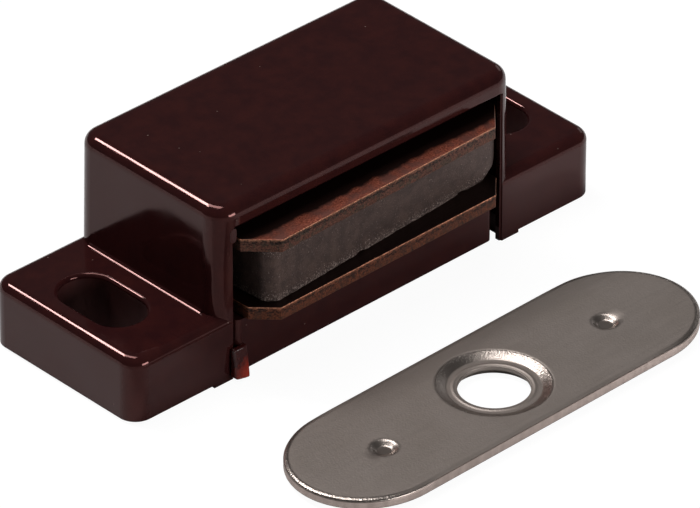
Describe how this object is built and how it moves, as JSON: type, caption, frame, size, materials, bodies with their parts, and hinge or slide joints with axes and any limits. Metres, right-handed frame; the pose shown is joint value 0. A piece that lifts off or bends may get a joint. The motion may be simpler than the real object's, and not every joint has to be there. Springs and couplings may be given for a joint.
{
  "type": "magnetic catch",
  "caption": "Magnetic cabinet catch: moulded housing with slotted lugs, a floating magnet between steel pole plates, and a dished strike plate.",
  "frame": {"origin": "middle of the catch's underside, on the surface that it is screwed to", "axes": "+X along the catch from lug to lug, +Y from the pole edges to the back, +Z away from the mounting surface"},
  "size_m": [0.046, 0.0361, 0.0146],
  "materials": {
    "housing_plastic": "glossy moulded, dark reddish brown",
    "pole_steel": "rolled strip with a copper-brown oxide",
    "ferrite": "sintered, matte, dark grey",
    "strike_steel": "satin nickel plate"
  },
  "bodies": {
    "catch_body": {"housing": "housing_plastic", "base_insert": "housing_plastic", "strike_plate": "strike_steel"},
    "magnet_pack": {"upper_pole_plate": "pole_steel", "lower_pole_plate": "pole_steel", "magnet": "ferrite"}
  },
  "joints": [
    {"name": "magnet_pack_float", "type": "slide", "parent": "catch_body", "child": "magnet_pack", "axis": [0, 1, 0], "range_m": [0, 0.0008]}
  ]
}
